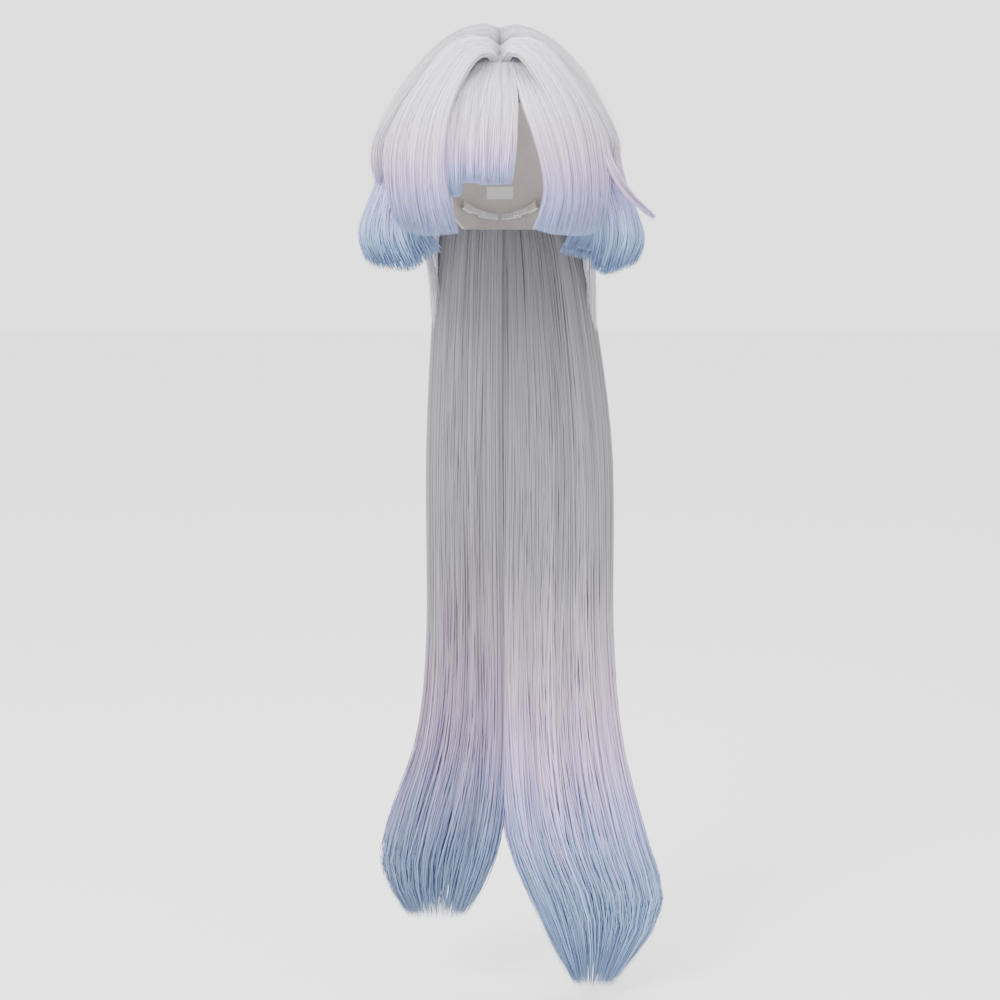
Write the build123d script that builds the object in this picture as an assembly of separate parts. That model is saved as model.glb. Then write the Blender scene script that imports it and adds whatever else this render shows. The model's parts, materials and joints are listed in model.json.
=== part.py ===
from build123d import *
from math import cos, radians, sin, sqrt
import os

# Long costume wig: a stretch cap with sewn weft tracks, a blunt fringe, two side bangs,
# flared bob-length side hair and two very long back masses, each hinged at its root line.
# The origin is the centre of the head opening at the widest girth of the head.
# +Z is up, the face looks along -Y and +X is the side of the flick lock.

# Cap: the inner surface is an ellipsoid that fits a head of 55 cm girth.
CAP_HALF_WIDTH = 77.0
CAP_HALF_LENGTH = 98.0
CAP_HEIGHT = 110.0
NET_THICKNESS = 0.8
TRIM_THICKNESS = 1.2
TRACK_THICKNESS = 0.9
PATCH_THICKNESS = 0.8
LAYER_GAP = 0.3
HAIR_CLEARANCE = 0.6

# Edge of the cap, seen from the side.
FOREHEAD_EDGE_Z = 45.0
FOREHEAD_EDGE_DROP = 4.0
TEMPLE_EDGE_DROP = 26.0
TEMPLE_Y = -52.0
TEMPLE_SLOPE_LENGTH = 14.0
EAR_TAB_BOTTOM_Z = -30.0
EAR_TAB_WIDTH = 24.0
EAR_NOTCH_TOP_Z = -4.0
EAR_BACK_Y = 28.0
EAR_NOTCH_SLOPE = 6.0
NAPE_SLOPE_HEIGHT = 30.0
NAPE_SLOPE_LENGTH = 10.0
NAPE_BOTTOM_Z = -85.0
BAND_WIDTH = 9.0
RIB_WIDTH = 10.0
CENTRE_RIB_FRONT_Y = -20.0
STAY_WIDTH = 5.0
STAY_LENGTH = 26.0
STAY_THICKNESS = 0.6
TRACK_COUNT = 8
TRACK_HEIGHT = 4.0
TRACK_TOP_Z = 74.0
TRACK_SPACING = 19.0
PATCH_WIDTH = 20.0
PATCH_BACK_Y = 20.0
PATCH_BOTTOM_Z = 60.0
LABEL_WIDTH = 30.0
LABEL_HEIGHT = 14.0
LABEL_THICKNESS = 0.5
LABEL_Z = -44.0

# Nape adjusters: a strap with a hook at each side that reaches along a row of loops.
ADJUSTER_Z = -72.0
STRAP_WIDTH = 8.0
STRAP_THICKNESS = 1.0
STRAP_START_DEG = 16.0
STRAP_END_DEG = 47.0
STRAP_TRAVEL_DEG = 12.0
SLIDE_CLEARANCE = 0.3
SLEEVE_WALL = 0.8
SLEEVE_START_DEG = 36.0
SLEEVE_END_DEG = 50.0
HOOK_LENGTH_DEG = 6.0
LOOP_TAPE_INSET = 1.6
LOOP_TAPE_THICKNESS = 0.6
LOOP_HEIGHT = 1.4
LOOP_WIDTH_DEG = 1.4
LOOP_COUNT = 5
LOOP_SPACING_DEG = 5.0
LOOP_FIRST_DEG = 3.0

# Crown hair: outer half sizes, and the planes where its sections meet.
HAIR_HALF_WIDTH = 124.0
HAIR_HALF_LENGTH = 126.0
HAIR_HEIGHT = 130.0
PART_GAP = 3.0
SECTION_GAP = 1.5
CROWN_FRONT_Y = -66.0
CROWN_BACK_Y = 44.0
CROWN_SIDE_BOTTOM_Z = 18.0
BACK_HAIR_BOTTOM_Z = -48.0

# Fringe and front arches.
FRINGE_THICKNESS = 12.0
FRINGE_LEFT_X = -40.0
FRINGE_RIGHT_X = 15.0
FRINGE_BOTTOM_Z = -41.0
FRINGE_HINGE_Z = 60.0
FRINGE_TOP_Z = 84.0
FRINGE_BACK_Y = -78.0
STEP_LEFT_X = -56.0
STEP_BOTTOM_Z = -55.0
ARCH_WIDTH = 44.0
ARCH_BOTTOM_Z = 70.0

# Side bangs, which hang outside the fringe, with the inner edge of each as x and z.
BANG_INNER_OFFSET = 20.0
BANG_THICKNESS = 16.0
BANG_TOP_Z = 54.0
BANG_BACK_Y = -38.0
BANG_BOTTOM_Z = -92.0
BANG_OUTER_X = 130.0
BANG_LEFT_EDGE = [(-58.0, BANG_TOP_Z), (-61.0, -30.0), (-54.0, BANG_BOTTOM_Z)]
BANG_RIGHT_EDGE = [(24.0, BANG_TOP_Z), (44.0, -35.0), (38.0, BANG_BOTTOM_Z + 4.0)]
BANG_OUTER_EDGE = [(104.0, BANG_BOTTOM_Z), (BANG_OUTER_X, -40.0), (BANG_OUTER_X, 20.0), (96.0, BANG_TOP_Z)]

# Side hair: an upper layer, the hair beside the ear and the flared ends.
LAYER_HALF_WIDTH = 135.0
LAYER_THICKNESS = 17.0
LAYER_BOTTOM_Z = -62.0
UNDER_INNER_OFFSET = 8.0
UNDER_BOTTOM_Z = -62.0
SIDE_FRONT_Y = -36.0
FLARE_TOP_Z = -64.0
FLARE_BOTTOM_Z = -125.0
FLARE_HALF_WIDTH = 156.0
FLARE_INNER_X = 62.0
FLARE_PLAN_CENTRE = (-98.0, 3.0)
FLARE_PLAN_HALF_SIZE = (78.0, 52.0)
FLICK_FRONT_Y = -30.0
FLICK_BACK_Y = -16.0
FLICK_TIP_X = 167.0
FLICK_TIP_Z = -74.0
FLICK_THICKNESS = 9.0

# Long back hair: each section is (z, inner x, outer x, front y, back y).
LONG_LEFT_SECTIONS = [
    (-52.0, 2.0, -82.0, 106.0, 125.0),
    (-165.0, 2.0, -77.0, 108.0, 130.0),
    (-340.0, 2.0, -86.0, 117.0, 142.0),
    (-575.0, 2.0, -85.0, 121.0, 149.0),
    (-640.0, 2.0, -88.0, 123.0, 152.0),
    (-690.0, 2.0, -98.0, 124.0, 155.0),
    (-735.0, 2.0, -113.0, 126.0, 158.0),
    (-785.0, -2.0, -137.0, 128.0, 160.0),
    (-835.0, -14.0, -147.0, 129.0, 160.0),
    (-870.0, -34.0, -140.0, 132.0, 158.0),
    (-903.0, -58.0, -108.0, 136.0, 154.0),
]
LONG_RIGHT_SECTIONS = [
    (-52.0, 6.0, 98.0, 106.0, 125.0),
    (-165.0, 6.0, 108.0, 108.0, 130.0),
    (-340.0, 6.0, 131.0, 117.0, 142.0),
    (-515.0, 6.0, 131.0, 121.0, 149.0),
    (-640.0, 6.0, 141.0, 123.0, 153.0),
    (-735.0, 8.0, 158.0, 124.0, 157.0),
    (-785.0, 14.0, 172.0, 126.0, 161.0),
    (-835.0, 28.0, 188.0, 127.0, 164.0),
    (-880.0, 46.0, 199.0, 128.0, 164.0),
    (-910.0, 62.0, 198.0, 130.0, 163.0),
    (-943.0, 80.0, 176.0, 132.0, 160.0),
    (-968.0, 92.0, 150.0, 135.0, 157.0),
    (-988.0, 102.0, 128.0, 138.0, 154.0),
]
UNDER_LEFT_SECTIONS = [
    (-52.0, -2.0, -66.0, 93.5, 104.0),
    (-165.0, -2.0, -66.0, 93.5, 105.0),
    (-340.0, -2.0, -72.0, 101.0, 114.0),
    (-560.0, -2.0, -70.0, 105.0, 118.0),
    (-790.0, -2.0, -72.0, 110.0, 122.0),
]
UNDER_RIGHT_SECTIONS = [
    (-52.0, 10.0, 80.0, 93.5, 104.0),
    (-165.0, 10.0, 88.0, 93.5, 105.0),
    (-340.0, 10.0, 104.0, 101.0, 114.0),
    (-560.0, 10.0, 108.0, 105.0, 118.0),
    (-830.0, 24.0, 124.0, 110.0, 122.0),
]

# Sizes that follow from the ones above.
TRIM_OFFSET = NET_THICKNESS + LAYER_GAP
TRACK_OFFSET = TRIM_OFFSET + TRIM_THICKNESS + LAYER_GAP
PATCH_OFFSET = TRACK_OFFSET + TRACK_THICKNESS + LAYER_GAP
HAIR_OFFSET = PATCH_OFFSET + PATCH_THICKNESS + HAIR_CLEARANCE
FAR = 400.0

os.makedirs("parts", exist_ok=True)


def save(shape, node):
    """Writes one sub-part to its own file."""
    solids = shape.solids()
    export_step(Compound(children=list(solids)) if len(solids) > 1 else solids[0], f"parts/{node}.step")


def slab(x_from, x_to, y_from, y_to, z_from, z_to):
    """A box between the given planes."""
    box = Box(x_to - x_from, y_to - y_from, z_to - z_from)
    return Pos((x_from + x_to) / 2, (y_from + y_to) / 2, (z_from + z_to) / 2) * box


def ellipsoid(half_width, half_length, height):
    """A solid ellipsoid about the origin."""
    base = CAP_HEIGHT
    return scale(Solid.make_sphere(base), by=(half_width / base, half_length / base, height / base))


def cap_form(offset):
    """The cap's inner form, grown by an offset."""
    return ellipsoid(CAP_HALF_WIDTH + offset, CAP_HALF_LENGTH + offset, CAP_HEIGHT + offset)


def bell(half_width, half_length, height):
    """A dome that hangs straight down below the widest girth, as hair does."""
    dome = ellipsoid(half_width, half_length, height) & slab(-FAR, FAR, -FAR, FAR, 0, FAR)
    return dome + extrude(Ellipse(half_width, half_length), amount=-FAR)


def cap_bell(offset):
    """A bell that stands off the cap by an offset."""
    return bell(CAP_HALF_WIDTH + offset, CAP_HALF_LENGTH + offset, CAP_HEIGHT + offset)


def front_prism(points, y_from, y_to):
    """An outline drawn as seen from the front, with depth from one y to another."""
    face = Plane.XZ * Polygon(*points, align=None)
    return Pos(0, y_to, 0) * extrude(face, amount=y_to - y_from, dir=(0, -1, 0))


def side_prism(outline, x_from, x_to):
    """An outline drawn as seen from the side, with width from one x to another."""
    return Pos(x_from, 0, 0) * extrude(Plane.YZ * outline, amount=x_to - x_from, dir=(1, 0, 0))


def mirrored(shape):
    """The same shape on the other side."""
    return mirror(shape, about=Plane.YZ)


def section_loft(sections):
    """A long hair mass lofted through flat oval sections."""
    ovals = []
    for z, x_in, x_out, y_front, y_back in sections:
        oval = Ellipse(abs(x_out - x_in) / 2, (y_back - y_front) / 2)
        ovals.append(Pos((x_in + x_out) / 2, (y_front + y_back) / 2, z) * oval)
    return loft(ovals, ruled=True)


# ---- Cap -------------------------------------------------------------------------------

ear_tab_back_y = TEMPLE_Y + EAR_TAB_WIDTH
cap_outline = Polygon(
    (-FAR, FOREHEAD_EDGE_Z),
    (TEMPLE_Y - TEMPLE_SLOPE_LENGTH, FOREHEAD_EDGE_Z - FOREHEAD_EDGE_DROP),
    (TEMPLE_Y - 2, FOREHEAD_EDGE_Z - TEMPLE_EDGE_DROP),
    (TEMPLE_Y, EAR_TAB_BOTTOM_Z),
    (ear_tab_back_y, EAR_TAB_BOTTOM_Z),
    (ear_tab_back_y + EAR_NOTCH_SLOPE, EAR_NOTCH_TOP_Z),
    (EAR_BACK_Y, EAR_NOTCH_TOP_Z),
    (EAR_BACK_Y + NAPE_SLOPE_LENGTH, EAR_NOTCH_TOP_Z - NAPE_SLOPE_HEIGHT),
    (EAR_BACK_Y + NAPE_SLOPE_LENGTH + 2, NAPE_BOTTOM_Z),
    (FAR, NAPE_BOTTOM_Z),
    (FAR, FAR),
    (-FAR, FAR),
    align=None,
)
cap_edge = cap_outline - offset(cap_outline, -BAND_WIDTH)
cap_region = side_prism(cap_outline, -FAR, FAR)
edge_region = side_prism(cap_edge, -FAR, FAR)

cap_inner = cap_form(0)
save((cap_form(NET_THICKNESS) - cap_inner) & cap_region, "cap_net")

trim_shell = cap_form(TRIM_OFFSET + TRIM_THICKNESS) - cap_form(TRIM_OFFSET)
edge_ring = trim_shell & edge_region
notch_line_y = ear_tab_back_y + EAR_NOTCH_SLOPE / 2
band_split_y = EAR_BACK_Y + 4
half_gap = LAYER_GAP / 2
tab_top_z = FOREHEAD_EDGE_Z - TEMPLE_EDGE_DROP - 2
front_cut = slab(-FAR, FAR, -FAR, notch_line_y - half_gap, tab_top_z, FAR)
tab_cut = slab(-FAR, 0, -FAR, notch_line_y - half_gap, -FAR, tab_top_z - LAYER_GAP)
over_ear_cut = slab(-FAR, 0, notch_line_y + half_gap, band_split_y - half_gap, -FAR, FAR)
nape_cut = slab(-FAR, FAR, band_split_y + half_gap, FAR, -FAR, 0)
save(edge_ring & front_cut, "front_band")
save(edge_ring & nape_cut, "nape_band")
ear_tab = edge_ring & tab_cut
over_ear_band = edge_ring & over_ear_cut
save(ear_tab, "ear_tab_left")
save(mirrored(ear_tab), "ear_tab_right")
save(over_ear_band, "over_ear_band_left")
save(mirrored(over_ear_band), "over_ear_band_right")

stay_y = TEMPLE_Y + EAR_TAB_WIDTH / 2
stay_shell = cap_form(TRACK_OFFSET + STAY_THICKNESS) - cap_form(TRACK_OFFSET)
stay_bottom = EAR_TAB_BOTTOM_Z + 3
stay = stay_shell & slab(
    -FAR, 0, stay_y - STAY_WIDTH / 2, stay_y + STAY_WIDTH / 2, stay_bottom, stay_bottom + STAY_LENGTH
)
save(stay, "ear_stay_left")
save(mirrored(stay), "ear_stay_right")

# Elastic ribs over the crown stop short of the edge bands and of each other.
rib_edge = side_prism(offset(cap_outline, -BAND_WIDTH - LAYER_GAP), -FAR, FAR)
centre_rib = slab(-RIB_WIDTH / 2, RIB_WIDTH / 2, CENTRE_RIB_FRONT_Y, FAR, -FAR, FAR)
cross_rib = slab(-FAR, -RIB_WIDTH / 2 - LAYER_GAP, -RIB_WIDTH / 2, RIB_WIDTH / 2, 0, FAR)
save(trim_shell & rib_edge & centre_rib, "centre_rib")
cross_rib_left = trim_shell & rib_edge & cross_rib
save(cross_rib_left, "cross_rib_left")
save(mirrored(cross_rib_left), "cross_rib_right")

# Weft tracks run from ear to ear round the back, with the hair sewn along them.
track_shell = (cap_form(TRACK_OFFSET + TRACK_THICKNESS) - cap_form(TRACK_OFFSET)) & cap_region
for row in range(TRACK_COUNT):
    track_z = TRACK_TOP_Z - row * TRACK_SPACING
    track_front = TEMPLE_Y
    if track_z < FOREHEAD_EDGE_Z:
        track_front = stay_y + STAY_WIDTH
    if track_z < EAR_NOTCH_TOP_Z:
        track_front = EAR_BACK_Y
    band = slab(-FAR, FAR, track_front, FAR, track_z - TRACK_HEIGHT / 2, track_z + TRACK_HEIGHT / 2)
    save(track_shell & band, f"weft_track_{row + 1}")

# Skin-coloured patch under the part line.
patch_shell = cap_form(PATCH_OFFSET + PATCH_THICKNESS) - cap_form(PATCH_OFFSET)
patch_region = slab(-PATCH_WIDTH / 2, PATCH_WIDTH / 2, CROWN_FRONT_Y, PATCH_BACK_Y, PATCH_BOTTOM_Z, FAR)
save(patch_shell & patch_region, "part_patch")

# Blank care label on the inside of the cap.
label_shell = cap_form(-LAYER_GAP) - cap_form(-LAYER_GAP - LABEL_THICKNESS)
label_region = slab(
    -LABEL_WIDTH / 2, LABEL_WIDTH / 2, 0, FAR, LABEL_Z - LABEL_HEIGHT / 2, LABEL_Z + LABEL_HEIGHT / 2
)
save(label_shell & label_region, "care_label")

# ---- Nape adjusters --------------------------------------------------------------------
# They lie on a cylinder that follows the cap's curve at the nape, inside the cap.
wall_y = CAP_HALF_LENGTH * sqrt(1 - (ADJUSTER_Z / CAP_HEIGHT) ** 2)
gradient = Vector(0, wall_y / CAP_HALF_LENGTH**2, ADJUSTER_Z / CAP_HEIGHT**2)
outward = gradient.normalized()
nape_radius = CAP_HALF_WIDTH**2 * gradient.length
nape_centre = Vector(0, wall_y, ADJUSTER_Z) - outward * nape_radius
nape_plane = Plane(origin=nape_centre, x_dir=(1, 0, 0), z_dir=Vector(1, 0, 0).cross(outward))


def nape_arc(radius_in, radius_out, start_deg, end_deg, height):
    """A curved bar on the nape cylinder, on the left, between two angles from the middle."""
    ring = Circle(radius_out) - Circle(radius_in)
    reach = 2 * radius_out
    start = (-reach * sin(radians(start_deg)), reach * cos(radians(start_deg)))
    end = (-reach * sin(radians(end_deg)), reach * cos(radians(end_deg)))
    sector = ring & Polygon((0, 0), start, end, align=None)
    return nape_plane * (Pos(0, 0, -height / 2) * extrude(sector, amount=height))


loop_outer = nape_radius - LOOP_TAPE_INSET
loop_inner = loop_outer - LOOP_TAPE_THICKNESS
strap_outer = loop_inner - LOOP_HEIGHT - SLIDE_CLEARANCE
strap_inner = strap_outer - STRAP_THICKNESS
loops_end = LOOP_FIRST_DEG + (LOOP_COUNT - 1) * LOOP_SPACING_DEG + LOOP_WIDTH_DEG
loops = nape_arc(loop_inner, loop_outer, LOOP_FIRST_DEG - 1, loops_end + 1, STRAP_WIDTH)
for index in range(LOOP_COUNT):
    start = LOOP_FIRST_DEG + index * LOOP_SPACING_DEG
    loops += nape_arc(loop_inner - LOOP_HEIGHT, loop_inner, start, start + LOOP_WIDTH_DEG, STRAP_WIDTH)
save(loops, "hook_loops_left")
save(mirrored(loops), "hook_loops_right")

strap = nape_arc(strap_inner, strap_outer, STRAP_START_DEG + HOOK_LENGTH_DEG, STRAP_END_DEG, STRAP_WIDTH)
save(strap, "adjuster_strap_left")
save(mirrored(strap), "adjuster_strap_right")

hook_height = STRAP_WIDTH - 2
hook_plate = nape_arc(
    strap_inner, strap_outer, STRAP_START_DEG, STRAP_START_DEG + HOOK_LENGTH_DEG, hook_height
)
hook_slot = nape_arc(
    strap_inner - 1, strap_outer + 1, STRAP_START_DEG + 2, STRAP_START_DEG + 4, hook_height - 3
)
save(hook_plate - hook_slot, "adjuster_hook_left")
save(mirrored(hook_plate - hook_slot), "adjuster_hook_right")

channel = nape_arc(
    strap_inner - SLIDE_CLEARANCE,
    strap_outer + SLIDE_CLEARANCE,
    SLEEVE_START_DEG - 1,
    SLEEVE_END_DEG + 1,
    STRAP_WIDTH + 2 * SLIDE_CLEARANCE,
)
sleeve = nape_arc(
    strap_inner - SLIDE_CLEARANCE - SLEEVE_WALL,
    strap_outer + SLIDE_CLEARANCE + SLEEVE_WALL,
    SLEEVE_START_DEG,
    SLEEVE_END_DEG,
    STRAP_WIDTH + 2 * SLIDE_CLEARANCE + 2 * SLEEVE_WALL,
)
save(sleeve - channel, "strap_sleeve_left")
save(mirrored(sleeve - channel), "strap_sleeve_right")

# ---- Crown hair ------------------------------------------------------------------------

hair_inner = cap_bell(HAIR_OFFSET)
hair_outer = bell(HAIR_HALF_WIDTH, HAIR_HALF_LENGTH, HAIR_HEIGHT)
crown_left_region = slab(
    -FAR, -PART_GAP / 2, CROWN_FRONT_Y, CROWN_BACK_Y - SECTION_GAP, CROWN_SIDE_BOTTOM_Z, FAR
)
crown_left = (hair_outer & crown_left_region) - hair_inner
save(crown_left, "crown_hair_left")
save(mirrored(crown_left), "crown_hair_right")
back_region = slab(-FAR, FAR, CROWN_BACK_Y, FAR, BACK_HAIR_BOTTOM_Z, FAR)
save((hair_outer & back_region) - hair_inner, "crown_hair_back")

# ---- Fringe and front arches -----------------------------------------------------------

front_limit_y = CROWN_FRONT_Y - SECTION_GAP
fringe_outer = cap_bell(HAIR_OFFSET + FRINGE_THICKNESS)
fringe_shell_region = slab(-FAR, FAR, -FAR, front_limit_y, -FAR, FRINGE_TOP_Z)
fringe_shell = (fringe_outer & fringe_shell_region) - hair_inner
fringe_top = FRINGE_HINGE_Z - SECTION_GAP
save(fringe_shell & slab(STEP_LEFT_X, FRINGE_RIGHT_X, -FAR, 0, FRINGE_HINGE_Z, FRINGE_TOP_Z), "fringe_root")
main_region = slab(FRINGE_LEFT_X, FRINGE_RIGHT_X, -FAR, FRINGE_BACK_Y, FRINGE_BOTTOM_Z, fringe_top)
save(fringe_shell & main_region, "fringe_main")
step_right_x = FRINGE_LEFT_X - LAYER_GAP
step_region = slab(STEP_LEFT_X, step_right_x, -FAR, FRINGE_BACK_Y, STEP_BOTTOM_Z, fringe_top)
save(fringe_shell & step_region, "fringe_step")

arch_inner = cap_bell(HAIR_OFFSET + FRINGE_THICKNESS + LAYER_GAP)
arch_region = slab(-ARCH_WIDTH, -PART_GAP / 2, -FAR, front_limit_y, ARCH_BOTTOM_Z, FAR)
arch_left = (hair_outer & arch_region) - arch_inner
save(arch_left, "front_arch_left")
save(mirrored(arch_left), "front_arch_right")

# ---- Side bangs ------------------------------------------------------------------------

bang_inner = cap_bell(BANG_INNER_OFFSET)
bang_outer = cap_bell(BANG_INNER_OFFSET + BANG_THICKNESS)
bang_left_outline = BANG_LEFT_EDGE + [(-x, z) for x, z in BANG_OUTER_EDGE]
bang_right_outline = BANG_RIGHT_EDGE + BANG_OUTER_EDGE
side_top_z = CROWN_SIDE_BOTTOM_Z - SECTION_GAP
under_crown = slab(-FAR, FAR, front_limit_y, FAR, side_top_z, FAR)
for side, outline in (("left", bang_left_outline), ("right", bang_right_outline)):
    region = front_prism(outline, -FAR, BANG_BACK_Y) - under_crown
    save((bang_outer & region) - bang_inner, f"side_bang_{side}")

# ---- Side hair -------------------------------------------------------------------------

side_back_y = CROWN_BACK_Y - SECTION_GAP
layer_inner_x = LAYER_HALF_WIDTH - LAYER_THICKNESS
layer_outer = bell(LAYER_HALF_WIDTH, HAIR_HALF_LENGTH, HAIR_HEIGHT)
layer_inner = bell(layer_inner_x, HAIR_HALF_LENGTH - LAYER_THICKNESS, HAIR_HEIGHT - LAYER_THICKNESS)
layer_region = slab(-FAR, 0, SIDE_FRONT_Y, side_back_y, LAYER_BOTTOM_Z, side_top_z)
side_layer = (layer_outer & layer_region) - layer_inner
save(side_layer, "side_layer_left")
save(mirrored(side_layer), "side_layer_right")

under_outer = bell(
    layer_inner_x - LAYER_GAP,
    HAIR_HALF_LENGTH - LAYER_THICKNESS - LAYER_GAP,
    HAIR_HEIGHT - LAYER_THICKNESS - LAYER_GAP,
)
under_region = slab(-FAR, 0, SIDE_FRONT_Y, side_back_y, UNDER_BOTTOM_Z, side_top_z)
side_under = (under_outer & under_region) - cap_bell(UNDER_INNER_OFFSET)
save(side_under, "side_under_left")
save(mirrored(side_under), "side_under_right")

flare_outline = [
    (-LAYER_HALF_WIDTH, FLARE_TOP_Z),
    (-FLARE_HALF_WIDTH, FLARE_BOTTOM_Z + 28),
    (-FLARE_HALF_WIDTH + 4, FLARE_BOTTOM_Z + 7),
    (-FLARE_HALF_WIDTH + 32, FLARE_BOTTOM_Z),
    (-FLARE_INNER_X - 14, FLARE_BOTTOM_Z + 6),
    (-FLARE_INNER_X, FLARE_BOTTOM_Z + 22),
    (-CAP_HALF_WIDTH - UNDER_INNER_OFFSET, FLARE_TOP_Z),
]
flare_plan = extrude(Pos(*FLARE_PLAN_CENTRE, -FAR) * Ellipse(*FLARE_PLAN_HALF_SIZE), amount=2 * FAR)
side_flare = front_prism(flare_outline, SIDE_FRONT_Y, side_back_y) & flare_plan
save(side_flare, "side_flare_left")
save(mirrored(side_flare), "side_flare_right")

# The flick lock leaves the right upper layer and its tip turns outwards.
flick_inner_x = LAYER_HALF_WIDTH + LAYER_GAP + 0.6
flick_outline = [
    (flick_inner_x, side_top_z - 22),
    (flick_inner_x, -38),
    (flick_inner_x + 12, -60),
    (FLICK_TIP_X, FLICK_TIP_Z),
    (FLICK_TIP_X - 8, -56),
    (flick_inner_x + FLICK_THICKNESS + 3, -34),
    (flick_inner_x + FLICK_THICKNESS, -8),
]
save(front_prism(flick_outline, FLICK_FRONT_Y, FLICK_BACK_Y), "flick_lock_right")

# ---- Long back hair --------------------------------------------------------------------

save(section_loft(LONG_LEFT_SECTIONS), "long_hair_left")
save(section_loft(LONG_RIGHT_SECTIONS), "long_hair_right")
save(section_loft(UNDER_LEFT_SECTIONS), "long_under_left")
save(section_loft(UNDER_RIGHT_SECTIONS), "long_under_right")
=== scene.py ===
import json
import math
import bpy
import numpy as np
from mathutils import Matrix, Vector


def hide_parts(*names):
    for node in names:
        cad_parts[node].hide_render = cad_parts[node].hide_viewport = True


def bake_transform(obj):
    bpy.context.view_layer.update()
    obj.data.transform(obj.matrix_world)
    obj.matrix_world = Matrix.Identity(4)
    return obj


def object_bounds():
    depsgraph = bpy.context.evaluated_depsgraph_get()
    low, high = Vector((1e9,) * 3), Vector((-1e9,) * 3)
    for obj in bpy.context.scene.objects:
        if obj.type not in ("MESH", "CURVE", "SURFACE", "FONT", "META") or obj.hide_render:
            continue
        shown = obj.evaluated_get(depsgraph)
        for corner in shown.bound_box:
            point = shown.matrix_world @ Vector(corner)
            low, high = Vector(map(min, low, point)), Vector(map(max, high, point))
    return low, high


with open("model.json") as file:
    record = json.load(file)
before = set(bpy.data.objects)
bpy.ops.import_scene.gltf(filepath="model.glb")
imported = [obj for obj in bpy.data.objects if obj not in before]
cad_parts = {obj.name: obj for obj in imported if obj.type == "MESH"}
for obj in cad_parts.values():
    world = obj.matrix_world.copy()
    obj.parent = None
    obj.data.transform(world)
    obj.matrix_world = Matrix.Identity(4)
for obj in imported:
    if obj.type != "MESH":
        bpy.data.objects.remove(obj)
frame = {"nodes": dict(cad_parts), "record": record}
cad_low, cad_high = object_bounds()

MM = 0.001
DENSITY = 1.0

# Tone runs from 0, silver white, through pink and lavender to 1, steel blue.
HAIR_TONES = [
    (0.00, (0.72, 0.71, 0.78)),
    (0.30, (0.71, 0.54, 0.75)),
    (0.45, (0.55, 0.46, 0.76)),
    (0.62, (0.40, 0.42, 0.77)),
    (0.80, (0.26, 0.38, 0.62)),
    (1.00, (0.13, 0.21, 0.39)),
]


# ---- Curves and surfaces ---------------------------------------------------------------

def through(controls, count):
    """Evenly spaced samples of a smooth curve through the controls, along the first axis."""
    controls = np.asarray(controls, float)
    first = 2 * controls[0] - controls[1]
    last = 2 * controls[-1] - controls[-2]
    p = np.concatenate([first[None], controls, last[None]])
    s = np.linspace(0, len(controls) - 1, count)
    i = np.minimum(s.astype(int), len(controls) - 2)
    f = (s - i).reshape((-1,) + (1,) * (controls.ndim - 1))
    a, b, c, d = p[i], p[i + 1], p[i + 2], p[i + 3]
    return 0.5 * (2 * b + (c - a) * f + (2 * a - 5 * b + 4 * c - d) * f**2 + (3 * b - a - 3 * c + d) * f**3)


def even(line, count):
    """The same line with evenly spaced points."""
    gaps = np.linalg.norm(np.diff(line, axis=0), axis=1)
    reach = np.concatenate([[0], np.cumsum(gaps)])
    at = np.linspace(0, reach[-1], count)
    return np.stack([np.interp(at, reach, line[:, k]) for k in range(3)], axis=1)


def unit(v):
    """The vectors at length one."""
    return v / np.maximum(np.linalg.norm(v, axis=-1, keepdims=True), 1e-9)


# The middle of the head, in metres: hair stands outwards from it.
HEAD_CENTRE = np.array([0, 0.02, 0])


class Drape:
    """A surface that hair lies on: u runs across the rails and t from root to tip."""

    def __init__(self, rails, round_itself=False, across=64, along=72):
        grid = through(np.asarray(rails, float) * MM, across)
        fine = through(grid.swapaxes(0, 1), 6 * along).swapaxes(0, 1)
        self.grid = np.stack([even(rail, along) for rail in fine])
        du = np.gradient(self.grid, axis=0)
        dt = np.gradient(self.grid, axis=1)
        normal = unit(np.cross(du, dt))
        inside = self.grid.mean(axis=0, keepdims=True) if round_itself else HEAD_CENTRE
        self.normal = normal * np.sign(((self.grid - inside) * normal).sum())
        self.width = np.linalg.norm(du, axis=-1).sum(axis=0).mean()
        self.length = np.linalg.norm(dt, axis=-1).sum(axis=1).mean()

    def at(self, u, t):
        """Point and outward normal at any u and t."""
        nu, nt = self.grid.shape[:2]
        a = np.clip(u, 0, 1) * (nu - 1)
        b = np.clip(t, 0, 1) * (nt - 1)
        i = np.minimum(a.astype(int), nu - 2)
        j = np.minimum(b.astype(int), nt - 2)
        fa, fb = (a - i)[..., None], (b - j)[..., None]

        def mix(g):
            low = g[i, j] * (1 - fb) + g[i, j + 1] * fb
            high = g[i + 1, j] * (1 - fb) + g[i + 1, j + 1] * fb
            return low * (1 - fa) + high * fa

        return mix(self.grid), unit(mix(self.normal))


# ---- Meshes ----------------------------------------------------------------------------

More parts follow.
